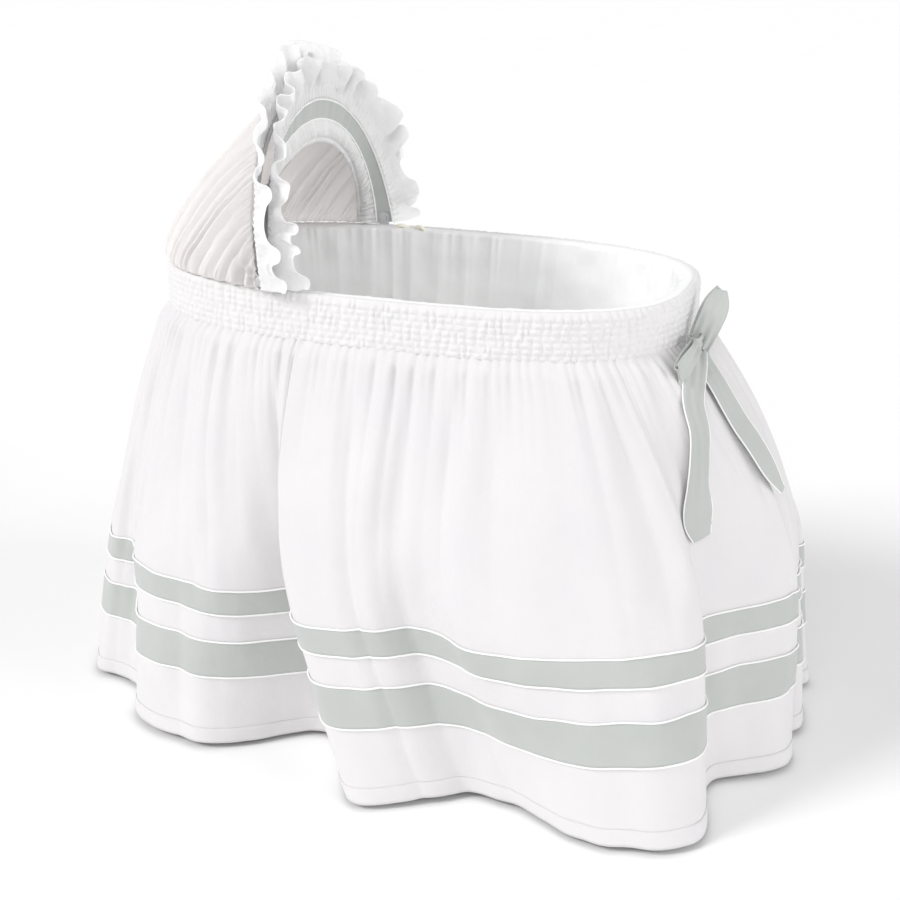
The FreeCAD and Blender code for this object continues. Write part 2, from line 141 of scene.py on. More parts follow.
# ---- mesh building --------------------------------------------------------------------
def add_mesh(name, verts, faces, uvs=None):
    mesh = bpy.data.meshes.new(name)
    mesh.from_pydata([tuple(v) for v in verts], [], [tuple(int(i) for i in f) for f in faces])
    if uvs is not None:
        layer = mesh.uv_layers.new(name="UVMap")
        index = np.zeros(len(mesh.loops), np.int32)
        mesh.loops.foreach_get("vertex_index", index)
        layer.data.foreach_set("uv", uvs[index].astype(np.float32).ravel())
    mesh.shade_smooth()
    obj = bpy.data.objects.new(name, mesh)
    bpy.context.scene.collection.objects.link(obj)
    return obj


def grid_faces(rows, cols, closed):
    r = np.arange(rows - 1)[:, None] * cols
    c = np.arange(cols if closed else cols - 1)[None, :]
    d = (c + 1) % cols
    return np.stack([r + c, r + cols + c, r + cols + d, r + d], -1).reshape(-1, 4)


def grid_normals(points, closed):
    """Unit normals of a grid of points, rows by columns."""
    if closed:
        across = np.roll(points, -1, 1) - np.roll(points, 1, 1)
    else:
        across = np.gradient(points, axis=1)
    down = np.gradient(points, axis=0)
    normal = np.cross(down, across)
    return normal / np.maximum(np.linalg.norm(normal, axis=2, keepdims=True), 1e-12)


def flat_size(points, closed=True):
    """Width and height of the flat cut: mean column length, and area over it."""
    down = np.diff(points, axis=0)
    height = np.linalg.norm(down, axis=2).sum(0).mean()
    across = np.roll(points, -1, 1) - points if closed else np.diff(points, axis=1)
    cols = across.shape[1]
    area = np.linalg.norm(np.cross(down[:, :cols], across[:-1]), axis=2).sum()
    return round(float(area / height), 3), round(float(height), 3)


def cloth_grid(name, points, thick, closed=True):
    """Cloth from a grid of points; its threads follow the flat cut."""
    rows, cols = points.shape[:2]
    width, height = flat_size(points, closed)
    u = np.broadcast_to(np.arange(cols) / cols * width, (rows, cols))
    v = np.broadcast_to(np.linspace(0, height, rows)[:, None], (rows, cols))
    uvs = np.stack([u, v], -1).reshape(-1, 2)
    obj = add_mesh(name, points.reshape(-1, 3), grid_faces(rows, cols, closed), uvs)
    if thick:
        mod = obj.modifiers.new("thickness", "SOLIDIFY")
        mod.thickness, mod.offset = thick, 0
    return obj


TUBE_SIDES = 8


def tube_along(name, paths, radius, closed=True):
    """Round piping along one or more lines of points."""
    verts, faces, base = [], [], 0
    for path in paths:
        count = len(path)
        if closed:
            ahead = np.roll(path, -1, 0) - np.roll(path, 1, 0)
        else:
            ahead = np.gradient(path, axis=0)
        ahead /= np.linalg.norm(ahead, axis=1, keepdims=True)
        side = np.cross(ahead, [0, 0, 1.0])
        short = np.linalg.norm(side, axis=1) < 0.05
        side[short] = np.cross(ahead[short], [0, 1.0, 0])
        side /= np.linalg.norm(side, axis=1, keepdims=True)
        lift = np.cross(side, ahead)
        for k in range(TUBE_SIDES):
            angle = 2 * math.pi * k / TUBE_SIDES
            verts.append(path + radius * (math.cos(angle) * side + math.sin(angle) * lift))
        for k in range(TUBE_SIDES):
            a, b = base + k * count, base + (k + 1) % TUBE_SIDES * count
            last = count if closed else count - 1
            for i in range(last):
                j = (i + 1) % count
                faces.append((a + i, b + i, b + j, a + j))
        if not closed:
            faces.append([base + k * count for k in range(TUBE_SIDES)])
            faces.append([base + k * count + count - 1 for k in reversed(range(TUBE_SIDES))])
        base += TUBE_SIDES * count
    return add_mesh(name, np.vstack(verts), faces)


# ---- materials ------------------------------------------------------------------------
class Nodes:
    """Short way to build one material's node tree."""

    def __init__(self, name):
        self.material = bpy.data.materials.new(name)
        self.material.use_nodes = True
        self.tree = self.material.node_tree
        self.shader = self.tree.nodes["Principled BSDF"]

    def add(self, kind, **values):
        node = self.tree.nodes.new(kind)
        for key, value in values.items():
            if key in node.inputs:
                node.inputs[key].default_value = value
            else:
                setattr(node, key, value)
        return node

    def link(self, source, target):
        self.tree.links.new(source, target)

    def maths(self, operation, *values):
        node = self.add("ShaderNodeMath", operation=operation)
        for socket, value in zip(node.inputs, values):
            if isinstance(value, (int, float)):
                socket.default_value = value
            else:
                self.link(value, socket)
        return node.outputs[0]

    def noise(self, vector, scale, detail, roughness=0.55):
        node = self.add("ShaderNodeTexNoise", Scale=scale, Detail=detail, Roughness=roughness)
        self.link(vector, node.inputs["Vector"])
        return node.outputs["Fac"]

    def wave(self, vector, scale, direction, distortion):
        node = self.add("ShaderNodeTexWave", bands_direction=direction, Scale=scale,
                        Distortion=distortion)
        self.link(vector, node.inputs["Vector"])
        return node.outputs["Fac"]

    def ramp(self, factor, stops):
        node = self.add("ShaderNodeValToRGB")
        ramp = node.color_ramp
        while len(ramp.elements) < len(stops):
            ramp.elements.new(0.5)
        for element, (place, colour) in zip(ramp.elements, stops):
            element.position = place
            element.color = (*colour, 1)
        self.link(factor, node.inputs["Fac"])
        return node.outputs["Color"]

    def bumps(self, layers):
        """Chain of bumps, each (height, distance, strength), into the shader's normal."""
        previous = None
        for height, distance, strength in layers:
            node = self.add("ShaderNodeBump", Distance=distance, Strength=strength)
            self.link(height, node.inputs["Height"])
            if previous:
                self.link(previous, node.inputs["Normal"])
            previous = node.outputs["Normal"]
        self.link(previous, self.shader.inputs["Normal"])


WAVE_UNIT = 2 * math.pi / 20       # a wave texture's period, in metres, at scale 1


def cloth(name, light, dark, thread=1.1 * MM, weave=0.35, crease=0.25, crease_scale=45,
          rough=0.85, sheen=0.25, uv=True, sheer=0.0):
    """Plain-woven cloth: threads with painted shade in their gaps, soft creases, uneven dye, a little sheen.

    sheer is how much of the light passes on through it, for cloth that has its thickness.
    """
    n = Nodes(name)
    where = n.add("ShaderNodeTexCoord")
    vector = where.outputs["UV" if uv else "Object"]
    scale = WAVE_UNIT / thread
    warp = n.wave(vector, scale, "X", 0.6)
    weft = n.wave(vector, scale, "Y" if uv else "Z", 0.6)
    threads = n.maths("MAXIMUM", warp, weft)
    slubs = n.noise(vector, 900, 2)
    creases = n.noise(where.outputs["Object"], crease_scale, 5)
    tone = n.noise(where.outputs["Object"], 9, 3)
    colour = n.ramp(tone, [(0.25, dark), (0.75, light)])
    # The threads darken the colour a little in the gaps between them: painted shade between the threads.
    thread_shade = n.add("ShaderNodeMix", data_type="RGBA", blend_type="MULTIPLY")
    thread_shade.inputs["Factor"].default_value = 0.10
    n.link(colour, thread_shade.inputs["A"])
    n.link(n.ramp(threads, [(0.2, (0.75,) * 3), (0.9, (1, 1, 1))]), thread_shade.inputs["B"])
    n.link(thread_shade.outputs["Result"], n.shader.inputs["Base Color"])
    n.link(n.maths("MULTIPLY_ADD", slubs, 0.1, rough - 0.05), n.shader.inputs["Roughness"])
    n.shader.inputs["Sheen Weight"].default_value = sheen
    n.shader.inputs["Sheen Roughness"].default_value = 0.5
    n.shader.inputs["Specular IOR Level"].default_value = 0.2
    n.shader.inputs["Subsurface Weight"].default_value = sheer
    n.shader.inputs["Subsurface Radius"].default_value = (1, 1, 1)
    n.shader.inputs["Subsurface Scale"].default_value = 4 * MM
    n.bumps([(creases, 4 * MM, crease), (threads, 0.25 * MM, weave), (slubs, 0.2 * MM, 0.25)])
    return n.material


def hard(name, light, dark, rough, metallic=0.0, grain=40, bump=0.15, coat=0.0, stretch=(1, 1, 1)):
    """Paint, plastic, metal, board or wood: mottled colour, uneven gloss and fine texture."""
    n = Nodes(name)
    where = n.add("ShaderNodeTexCoord")
    mapping = n.add("ShaderNodeMapping")
    mapping.inputs["Scale"].default_value = stretch
    n.link(where.outputs["Object"], mapping.inputs["Vector"])
    vector = mapping.outputs["Vector"]
    tone = n.noise(vector, grain, 5, 0.6)
    fine = n.noise(vector, 1400, 2)
    n.link(n.ramp(tone, [(0.3, dark), (0.7, light)]), n.shader.inputs["Base Color"])
    n.link(n.ramp(tone, [(0.3, (rough + 0.08,) * 3), (0.7, (rough - 0.05,) * 3)]),
           n.shader.inputs["Roughness"])
    n.shader.inputs["Metallic"].default_value = metallic
    n.shader.inputs["Coat Weight"].default_value = coat
    n.bumps([(tone, 0.3 * MM, bump), (fine, 0.06 * MM, bump)])
    return n.material


def all_materials():
    return {
        "skirt": cloth("skirt_cotton", (0.73, 0.715, 0.715), (0.70, 0.688, 0.702), crease=0.22),
        "band": cloth("band_cotton", (0.77, 0.755, 0.755), (0.74, 0.73, 0.735), crease=0.35,
                      crease_scale=160),
        # The liner is whiter than the skirt's cotton to lighten the shade inside the basket: painted light.
        "liner": cloth("liner_cotton", (0.93, 0.93, 0.93), (0.90, 0.905, 0.91), crease=0.35,
                       crease_scale=35),
        "hood": cloth("hood_cotton", (0.79, 0.735, 0.72), (0.75, 0.69, 0.675), crease=0.45,
                      crease_scale=60, sheer=1.0),
        # The frill and valance are whiter than the skirt's cotton to lighten the shade on the hood's front:
        # painted light.
        "frill": cloth("frill_cotton", (0.88, 0.875, 0.88), (0.84, 0.84, 0.85), crease=0.35,
                       crease_scale=120, sheer=0.9),
        "grey": cloth("grey_ribbon_weave", (0.50, 0.52, 0.505), (0.46, 0.48, 0.465),
                      thread=1.4 * MM, weave=0.45, crease=0.2, rough=0.62, sheen=0.35),
        "piping": cloth("white_piping", (0.92, 0.92, 0.92), (0.88, 0.88, 0.88), thread=0.8 * MM,
                        uv=False, crease=0.1),
        "cream": cloth("cream_satin", (0.94, 0.92, 0.80), (0.90, 0.88, 0.74), thread=0.8 * MM,
                       rough=0.5, uv=False),
        "ticking": cloth("mattress_ticking", (0.86, 0.86, 0.84), (0.82, 0.82, 0.80),
                         crease=0.3, crease_scale=90, uv=False),
    }


CLOTHS = all_materials()


def paint(obj, material):
    obj.data.materials.clear()
    obj.data.materials.append(material)
    return obj


# ---- skirt ----------------------------------------------------------------------------
# Folds round the skirt, from the foot end by the far side: the rim's parameter angle in
# degrees that the cloth hangs from, then x and y in millimetres at the hem, and x and y at
# the upper ribbon.  The near folds lean towards the foot end on their way down.
FOLDS = [
    (2, 598, 30, 566, 44), (9, 586, 96, 558, 96), (14, 556, 128, 532, 122),
    (19, 588, 176, 556, 158), (27, 556, 216, 526, 192), (34, 516, 220, 484, 194),
    (41, 498, 292, 462, 254), (49, 440, 316, 402, 284), (56, 380, 282, 350, 262),
    (64, 312, 338, 290, 302), (72, 240, 342, 226, 306), (79, 180, 298, 172, 280),
    (86, 112, 354, 108, 316), (93, 40, 350, 36, 312), (99, -30, 304, -30, 284),
    (106, -98, 356, -92, 318), (113, -172, 348, -164, 312), (120, -236, 300, -226, 280),
    (127, -300, 336, -284, 302), (135, -372, 314, -350, 282), (142, -424, 262, -398, 240),
    (149, -446, 200, -420, 188), (157, -506, 190, -470, 176), (165, -540, 120, -498, 108),
    (174, -516, 50, -478, 46), (183, -512, -8, -474, -6), (193, -542, -92, -492, -84),
    (205, -516, -184, -466, -180), (212, -470, -200, -430, -192), (216, -434, -206, -412, -196),
    (219, -406, -226, -398, -214), (222, -380, -286, -374, -252), (227, -345, -313, -338, -276),
    (233, -288, -328, -290, -290), (240, -225, -322, -236, -298), (248, -162, -288, -178, -292),
    (254, -100, -240, -112, -254), (257, -62, -238, -88, -248), (259, -24, -284, -84, -284),
    (261, 10, -366, -76, -334), (264, 42, -393, -48, -355), (268, 100, -366, 8, -350),
    (272, 152, -328, 62, -328), (277, 198, -308, 118, -308), (284, 272, -326, 186, -334),
    (291, 332, -352, 250, -336), (297, 386, -368, 308, -326), (303, 436, -352, 366, -304),
    (309, 480, -336, 414, -278), (313, 504, -308, 450, -250), (317, 508, -262, 474, -214),
    (320, 490, -206, 464, -178), (323, 494, -166, 458, -152), (328, 518, -144, 476, -124),
    (336, 562, -112, 524, -76), (343, 590, -80, 562, -36), (348, 592, -42, 570, -8),
    (355, 566, -10, 548, 14),
]
HIGH_LINE = 247 * MM          # height at which the second pair of each fold is given
SKIRT_COLS, SKIRT_ROWS = 1300, 129
RIBBON_ROWS = {"upper": (77, 85), "lower": (94, 106)}
HEM_FOLD_ROW = 123
MEAN_A, MEAN_B, MEAN_N = 0.505, 0.285, 2.8   # oval that the cloth sets off towards below the rim


def rim_turn_share(turn_deg):
    """Share of the rim's length at a parameter angle, so gathers are even on the rim."""
    degrees = np.linspace(0, 360, 2001)
    line, _ = oval(np.radians(degrees), RIM_A, RIM_B)
    along = np.concatenate([[0], np.cumsum(np.linalg.norm(np.diff(line, axis=0), axis=1))])
    return np.interp(turn_deg % 360, degrees, along / along[-1])


def even_turns(count):
    """Shares of the rim's length, evenly spaced, and the parameter angles they fall at."""
    share = np.arange(count) / count
    degrees = np.linspace(0, 359.99, 2000)
    return share, np.interp(share, rim_turn_share(degrees), np.radians(degrees))


def hermite(start, slope_start, end, slope_end, t):
    """Cubic from start to end with given slopes, t from 0 to 1."""
    return ((2 * t ** 3 - 3 * t ** 2 + 1) * start + (t ** 3 - 2 * t ** 2 + t) * slope_start
            + (3 * t ** 2 - 2 * t ** 3) * end + (t ** 3 - t ** 2) * slope_end)


def skirt_points():
    """Grid of the skirt, from under the band (v 0) to the hem (v 1).

    Three sizes of gathers start at the band and fade out lower down, the broadest last.
    """
    rows = [(hx * MM, hy * MM, ux * MM, uy * MM, math.cos(math.radians(t)),
             math.sin(math.radians(t))) for t, hx, hy, ux, uy in FOLDS]
    line = closed_curve(rows, SKIRT_COLS)
    hem, high = line[None, :, :2], line[None, :, 2:4]
    turn = np.arctan2(line[:, 5], line[:, 4])
    share = rim_turn_share(np.degrees(turn))
    order = np.unwrap(share * 2 * math.pi) / (2 * math.pi)
    rim, out = oval(turn, RIM_A - 3 * MM, RIM_B - 3 * MM)
    mean, _ = oval(turn, MEAN_A, MEAN_B, MEAN_N)
    top = BAND_Z + 7 * MM
    v_high = (top - HIGH_LINE) / (top - HEM_Z)
    v = np.linspace(0, 1, SKIRT_ROWS)[:, None, None]
    puffed = 1.3 + 1.3 * smooth(np.cos(turn), 0.2, 1.0)[:, None]
    fall = (hem - high) * v_high / (1 - v_high)
    upper = hermite(rim[None], (mean - rim)[None] * puffed, high, fall, np.minimum(v / v_high, 1))
    lower = high + (hem - high) * (v - v_high) / (1 - v_high)
    flat = np.where(v < v_high, upper, lower)
    v = v[:, :, 0]
    fine = gathers(order, 150, 3)
    middle = gathers(order, 62, 5, 0.5)
    broad = gathers(order, 30, 8, 0.6)
    reach = 0.75 + 0.5 * soft_noise(SKIRT_COLS, 70, 11)
    push = (2.8 * MM * fine * np.exp(-v / 0.09)
            + 6.5 * MM * middle * smooth(v, 0, 0.06) * np.exp(-v / (0.28 * reach))
            + 12.0 * MM * broad * smooth(v, 0.02, 0.25) * np.exp(-v / (0.85 * reach))
            * (1 - 0.5 * v)
            + 4.0 * MM * noise_field(SKIRT_ROWS, SKIRT_COLS, 7, 90, 13) * smooth(v, 0.1, 0.5)
            + 8.0 * MM * smooth(v, 0.004, 0.04) * (1 - v))
    flat = flat + push[:, :, None] * out[None]
    z = top + (HEM_Z - top) * v + 2.0 * MM * soft_noise(SKIRT_COLS, 40, 17)[None] * v
    return np.concatenate([flat, z[:, :, None]], 2)


def build_skirt():
    points = skirt_points()
    normals = grid_normals(points, True)
    skirt = cloth_grid("skirt", points, thick=0)
    paint(skirt, CLOTHS["skirt"])
    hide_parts("skirt_panel_near", "skirt_panel_far", "skirt_panel_head",
                "skirt_panel_foot")
    edges = []
    for which, (top, low) in RIBBON_ROWS.items():
        lifted = points[top:low + 1] + normals[top:low + 1] * 1.3 * MM
        ribbon = cloth_grid("skirt_ribbon_band_" + which, lifted, thick=0.9 * MM)
        paint(ribbon, CLOTHS["grey"])
        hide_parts("skirt_ribbon_" + which)
        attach(ribbon, "basket")
        edges += [points[row] + normals[row] * 1.9 * MM for row in (top, low)]
    piping = paint(tube_along("skirt_piping", edges, 1.5 * MM), CLOTHS["piping"])
    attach(piping, "basket")
    fold = points[HEM_FOLD_ROW:] + normals[HEM_FOLD_ROW:] * 0.5 * MM
    hem = cloth_grid("skirt_hem", fold, thick=0.4 * MM)
    paint(hem, CLOTHS["skirt"])
    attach(hem, "basket")
    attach(skirt, "basket")


# ---- smocked band and liner -----------------------------------------------------------
BAND_COLS = 1900
SHIRR_ROWS = 7                                # rows of elastic thread
OUTSIDE_ROWS, FULL_ROWS = 44, 50              # rows up the outside; rows before the puckers fade


def build_band():
    """Smocked band: up the outside of the rim and rolled over its top."""
    share, turn = even_turns(BAND_COLS)
    roll = 5.5 * MM
    rise = RIM_Z - roll - BAND_Z
    outside = np.linspace(0, 1, OUTSIDE_ROWS)
    over = np.linspace(0, math.pi, 12)[1:]
    inside = np.array([4, 8, 12]) * MM
    base = np.concatenate([np.zeros(OUTSIDE_ROWS), -roll * (1 - np.cos(over)),
                           [-2 * roll] * len(inside)])
    level = np.concatenate([BAND_Z + rise * outside, RIM_Z - roll + roll * np.sin(over),
                            RIM_Z - roll - inside])
    rows = len(level)
    cell = np.concatenate([outside * SHIRR_ROWS, np.full(rows - OUTSIDE_ROWS, SHIRR_ROWS)])
    pinch = np.abs(np.sin(math.pi * cell)) ** 0.6
    pucker = np.zeros((rows, BAND_COLS))
    for k in range(SHIRR_ROWS):
        own = gathers(share, 165, 100 + k, 0.45)
        weight = np.clip(1 - np.abs(cell - (k + 0.5)), 0, 1)
        weight[cell >= SHIRR_ROWS - 0.5] = 1.0 if k == SHIRR_ROWS - 1 else 0.0
        pucker += weight[:, None] * own[None]
    depth = np.where(cell < SHIRR_ROWS, 0.5 + 1.0 * pinch, 0.55)[:, None]
    push = (1.25 * MM * pucker * depth + 1.0 * MM * pinch[:, None]
            + 1.0 * MM * noise_field(rows, BAND_COLS, 6, 120, 31))
    fade = np.concatenate([np.ones(FULL_ROWS), np.linspace(1, 0, rows - FULL_ROWS)])[:, None]
    push = push * fade
    line, out = oval(turn, RIM_A - 0.5 * MM, RIM_B - 0.5 * MM)
    flat = line[None] + out[None] * (base[:, None] + push)[:, :, None]
    z = np.broadcast_to(level[:, None], push.shape) + 0.9 * MM * pucker * (1 - fade * 0.4)
    points = np.concatenate([flat, z[:, :, None]], 2)
    band = paint(cloth_grid("smocked_band", points, thick=0), CLOTHS["band"])
    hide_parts("elastic_band")
    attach(band, "basket")


LIP_ROWS = 9
LIP_TURN = math.radians(150)                  # how far the liner's lip curls over the band
LIP_SPAN = 1.87                               # just over 1 - cos(LIP_TURN)


def build_liner():
    """Gathered liner, from its lip over the band down to the mattress's edge."""
    cols, rows = 900, 60
    share, turn = even_turns(cols)
    depth = np.linspace(0, 1, rows)[:, None]
    top_a, top_b, top_z = liner_high.x - 2 * MM, liner_high.y - 2 * MM, RIM_Z - 6 * MM
    low_a, low_b = mattress_high.x - 3 * MM, mattress_high.y - 3 * MM
    low_z = mattress_high.z - 14 * MM
    top, out = oval(turn, top_a, top_b)
    low, _ = oval(turn, low_a, low_b)
    flat = top[None] + (low - top)[None] * depth[:, :, None]
    folds = gathers(share, 96, 41, 0.6)
    broad = gathers(share, 38, 43, 0.7)
    inward = (1.2 * MM * (folds - 1) * np.exp(-depth / 0.18)
              + 2.4 * MM * (broad - 1) * (0.35 + 0.65 * np.exp(-depth / 0.6))
              + 2.2 * MM * (noise_field(rows, cols, 8, 60, 47) - 1))
    flat = flat + inward[:, :, None] * out[None]
    z = np.broadcast_to(top_z + (low_z - top_z) * depth, inward.shape)
    points = np.concatenate([flat, z[:, :, None]], 2)
    curl = np.linspace(LIP_TURN, 0, LIP_ROWS + 1)[:-1, None]
    lip = np.broadcast_to(points[:1], (LIP_ROWS, cols, 3)).copy()
    edge, _ = oval(turn, RIM_A - 7 * MM, RIM_B - 7 * MM)
    lip[:, :, :2] += (edge[None] - lip[:, :, :2]) * ((1 - np.cos(curl)) / LIP_SPAN)[:, :, None]
    lip[:, :, 2] += 5.2 * MM * np.sin(curl)
    points = np.concatenate([lip, points])
    liner = paint(cloth_grid("basket_liner", points, thick=0), CLOTHS["liner"])
    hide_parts("liner")
    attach(liner, "basket")


# ---- hood -----------------------------------------------------------------------------
LEAN = 0.15                   # how far the hood's hoop leans to the head end, per rise
# Arches of the hood's front: half width, height, the foot's X, lean and exponent.
RIBBON_OUTER = (0.222, 0.226, -0.145, LEAN, 2.0)
RIBBON_INNER = (0.215, 0.197, -0.171, 0.063, 2.0)
VALANCE_INNER = (0.207, 0.163, -0.204, -0.122, 1.85)
FRONT_COLS = 420
# Degrees round the hinge, from upright towards the head end.  A point's share of the fan is
# 0 at FAN_RIM or beyond and 1 at FAN_ARCH or less, except under FAN_BELOW, which is below
# the hinge on its foot side and gets 0.
FAN_RIM, FAN_ARCH, FAN_BELOW = 90, 12, -120


def arch(angle, half, tall, foot_x, lean, power):
    """Points of an arch standing on the rim, from the near foot to the far one."""
    c, s = np.cos(angle), np.sin(angle)
    y = -half * np.sign(c) * np.abs(c) ** (2 / power)
    rise = tall * np.abs(s) ** (2 / power)
    return np.stack([foot_x - lean * rise, y, RIM_Z + rise], -1)


def follow_hood(obj):
    """Cloth between the rim and the hood: bakes its transform and works out each point's share of the fan."""
    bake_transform(obj)
    count = len(obj.data.vertices)
    co = np.zeros(count * 3, np.float32)
    obj.data.vertices.foreach_get("co", co)
    co = co.reshape(-1, 3)
    fan = np.degrees(np.arctan2(HINGE.x - co[:, 0], co[:, 2] - HINGE.z))
    weight = np.clip((FAN_RIM - fan) / (FAN_RIM - FAN_ARCH), 0, 1)
    weight[fan < FAN_BELOW] = 0


def build_hood_cover():
    """Gathered back of the hood, from its hoop down to the head end of the rim."""
    cols, rows = 520, 90
    s = np.linspace(0, 1, cols)
    w = np.linspace(0, 1, rows)[:, None]
    angle = math.radians(2) + s * math.radians(176)
    rise = ARCH_R * np.sin(angle)
    hoop = np.stack([HINGE.x - 4 * MM - LEAN * rise, -(ARCH_R + 4 * MM) * np.cos(angle),
                     HINGE.z + rise + 4 * MM * np.sin(angle)], -1)
    foot_turn = math.acos((-HINGE.x / RIM_A) ** (RIM_N / 2))
    turn = math.pi + foot_turn * (1 - 2 * s)
    rim, _ = oval(turn, RIM_A - 2 * MM, RIM_B - 2 * MM)
    rim = np.concatenate([rim, np.full((cols, 1), RIM_Z + 0.5 * MM)], 1)
    points = hoop[None] + (rim - hoop)[None] * w[:, :, None]
    normals = grid_normals(points, False)
    facing = np.sign((normals * (points - np.array([HINGE.x, 0, RIM_Z]))).sum(2))[:, :, None]
    normals = normals * facing
    crown = np.sin(angle)[None] ** 0.5
    bulge = 28 * MM * np.sin(math.pi * w) ** 0.45 * (0.72 + 0.35 * w) * crown
    long_folds = gathers(s, 30, 61, 0.6)
    short_folds = gathers(s, 74, 63, 0.6)
    free = np.sin(math.pi * np.clip(w, 0.02, 0.97)) ** 0.35
    folds = (long_folds * (1.6 + 4.6 * w ** 1.2) * MM * free
             + short_folds * 1.9 * MM * smooth(w, 0.55, 1.0)
             + short_folds * 1.2 * MM * (1 - smooth(w, 0.0, 0.22))
             + 2.6 * MM * noise_field(rows, cols, 6, 26, 67, closed=False) * np.sin(math.pi * w))
    points = points + normals * (bulge + folds)[:, :, None]
    points[:, :, 2] = np.maximum(points[:, :, 2], RIM_Z - 1 * MM)
    cover = paint(cloth_grid("hood_cover_cloth", points, closed=False, thick=0.6 * MM),
                  CLOTHS["hood"])
    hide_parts("hood_cover")
    follow_hood(cover)


def hood_ring(outer, inner, rows):
    """Grid between two of the hood's arches, and its normals towards the foot end."""
    angle = np.radians(np.linspace(1.0, 179.0, FRONT_COLS))
    across = np.linspace(0, 1, rows)[:, None, None]
    ring = arch(angle, *outer)[None] * (1 - across) + arch(angle, *inner)[None] * across
    normals = grid_normals(ring, False)
    return ring, normals * np.sign(normals[:, :, :1] + 1e-9)


def build_hood_ribbon():
    """Grey ribbon on the hood's front, with its white piping."""
    ring, normals = hood_ring(RIBBON_OUTER, RIBBON_INNER, 14)
    wave = 0.8 * MM * soft_noise(FRONT_COLS, 60, 71, closed=False)[None]
    ring = ring + normals * (1.2 * MM + wave)[:, :, None]
    ribbon = paint(cloth_grid("hood_ribbon_band", ring, closed=False, thick=1.0 * MM),
                   CLOTHS["grey"])
    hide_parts("hood_ribbon")
    follow_hood(ribbon)
    edges = [ring[0] + normals[0] * 0.6 * MM, ring[-1] + normals[-1] * 0.6 * MM]
    piping = tube_along("hood_piping", edges, 1.5 * MM, closed=False)
    paint(piping, CLOTHS["piping"])
    follow_hood(piping)


def build_valance():
    """Gathered white cloth inside the grey ribbon, drawn in by a casing near its edge."""
    rows = 26
    s = np.linspace(0, 1, FRONT_COLS)
    w = np.linspace(0, 1, rows)[:, None]
    flat, normals = hood_ring(RIBBON_INNER, VALANCE_INNER, rows)
    pleats = gathers(s, 64, 73, 0.5)[None]
    casing = np.exp(-((w - 0.80) / 0.05) ** 2)
    puff = (2.6 * MM * pleats * (0.5 + 0.5 * np.sin(math.pi * w)) + 5.0 * MM * np.sin(math.pi * w)
            - 3.0 * MM * casing
            + 1.0 * MM * noise_field(rows, FRONT_COLS, 4, 60, 77, closed=False))
    valance = flat + normals * puff[:, :, None]
    cloth_obj = paint(cloth_grid("hood_valance_cloth", valance, closed=False, thick=0.8 * MM),
                      CLOTHS["frill"])
    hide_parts("hood_valance")
    follow_hood(cloth_obj)


# Ruffle's outer radius: degrees from the arch's top (near side negative) and millimetres.
RUFFLE_EDGE = [(-92, 236), (-80, 250), (-66, 268), (-52, 288), (-40, 296), (-28, 298),
               (-14, 302), (2, 296), (18, 290), (37, 296), (52, 318), (64, 328), (74, 310),
               (84, 312), (92, 300)]
# How far forward the front frill falls at its edge, in millimetres, at the same angles.
RUFFLE_FALL = [(-92, 58), (-70, 54), (-50, 42), (-30, 24), (0, 12), (92, 14)]
RUFFLE_PLEATS = 85             # fine pleats along the sewn edge


def frill(name, seed, waves, fall, reach, root, root_x, tuck=0.0):
    """One gathered frill round the arch: its crumpled folds open out towards the edge.

    waves is the number of big folds; fall and reach are shares of the outlines above.
    root and root_x are the radius and the place along X where it is sewn on; tuck is how far
    its sewn edge goes in under the hood's cover.
    """
    cols, rows = 1100, 26
    s = np.linspace(0, 1, cols)
    w = np.linspace(0, 1, rows)[:, None]
    degrees = np.linspace(-91, 91, cols)
    edge = np.interp(degrees, *zip(*RUFFLE_EDGE)) * MM
    drop = np.interp(degrees, *zip(*RUFFLE_FALL)) * MM * fall
    share = np.interp(s, [0, 0.5, 1], [0, 0.56, 1])      # a few more folds on the near side
    phase = 2 * math.pi * (share * waves + 0.4 * soft_noise(cols, waves, seed, closed=False))
    size = 1 + 0.5 * soft_noise(cols, waves + 9, seed + 1, closed=False)
    open_out = smooth(w, -0.1, 0.95)
    soft = np.interp(degrees, [-92, -50, -10, 92], [0.55, 0.6, 1, 1])     # shallower near side
    uneven = 1 + 0.05 * soft_noise(cols, waves * 2, seed + 3, closed=False)
    length = (edge * reach - root) * uneven
    crumple = [noise_field(rows, cols, 3, waves * 2, seed + k, closed=False) for k in (5, 6, 7)]
    fine = [noise_field(rows, cols, 6, waves * 5, seed + k, closed=False) for k in (11, 12)]
    rough = np.sin(math.pi * np.clip(w * 0.62, 0, 0.5)) * MM
    flute = open_out * MM * size * soft
    tucked = tuck * np.exp(-(w / 0.04) ** 2) * smooth(1 - np.abs(degrees) / 91, 0.02, 0.12)
    radius = (root + length * w + 6 * MM * smooth(w, 0, 0.1) - tucked
              + flute * (4 * np.cos(phase + 0.6) - 3) + rough * (3 * crumple[0] + 1.2 * fine[0]))
    bend = np.radians(degrees) - flute * 13 * np.sin(2 * phase) + rough * 10 * crumple[1]
    forward = (drop * w ** 0.9 + flute * 12 * np.sin(phase)
               + rough * (4 * crumple[2] + 2.2 * fine[1])
               + 1.0 * MM * np.sin(2 * math.pi * RUFFLE_PLEATS * s)[None] * (1 - w) ** 2)
    y = radius * np.sin(bend)
    rise = radius * np.cos(bend)
    x = root_x - LEAN * rise + forward
    z = np.maximum(RIM_Z + 6 * MM + rise, RIM_Z + 2 * MM)
    points = np.stack([x, y, z], -1)
    obj = paint(cloth_grid(name, points, closed=False, thick=0.7 * MM), CLOTHS["frill"])
    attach(obj, "hood")
    return obj


def build_ruffle():
    front = frill("hood_ruffle_front", seed=81, waves=16, fall=0.9, reach=0.94,
                  root=ARCH_R - 8 * MM, root_x=-0.1435)
    frill("hood_ruffle_back", seed=87, waves=14, fall=0.8, reach=1.00,
          root=ARCH_R + 3 * MM, root_x=-0.160, tuck=6 * MM)
    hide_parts("hood_ruffle")


